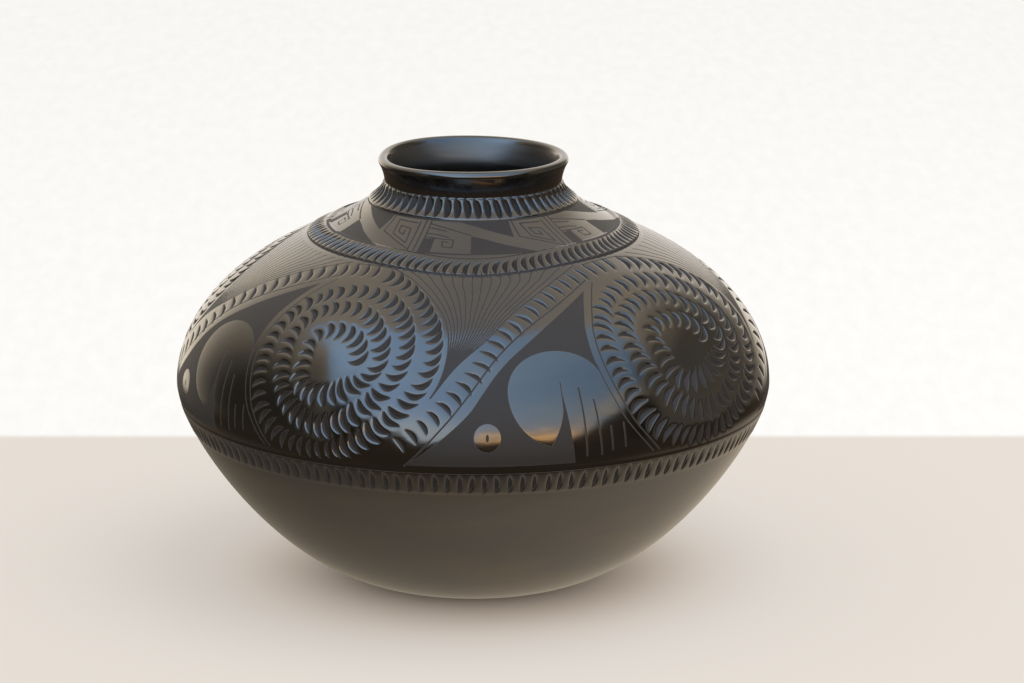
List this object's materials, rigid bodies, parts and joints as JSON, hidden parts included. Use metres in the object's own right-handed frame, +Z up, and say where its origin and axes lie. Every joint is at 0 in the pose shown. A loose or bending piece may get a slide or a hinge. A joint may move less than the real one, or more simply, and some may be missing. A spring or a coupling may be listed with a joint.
{
  "type": "pottery olla",
  "caption": "Wide, low-bellied black clay jar with a short flared neck, a burnished bowl below and carved bands and whorls above.",
  "frame": {"origin": "middle of the flat foot, on the surface the jar stands on", "axes": "+Z up along the jar's turning axis; -Y faces the viewer of the picture"},
  "size_m": [0.3, 0.3, 0.2165],
  "materials": {
    "burnished_clay": "smoke-fired black clay, stone burnished to a deep gloss",
    "carved_clay": "smoke-fired black clay, burnished in the raised parts and matte in the carved and incised ones"
  },
  "bodies": {
    "root": {"base_bowl": "burnished_clay", "lower_wall": "burnished_clay", "belly_wall": "carved_clay", "shoulder_wall": "carved_clay", "shoulder_collar": "carved_clay", "neck_and_lip": "burnished_clay"}
  },
  "joints": []
}
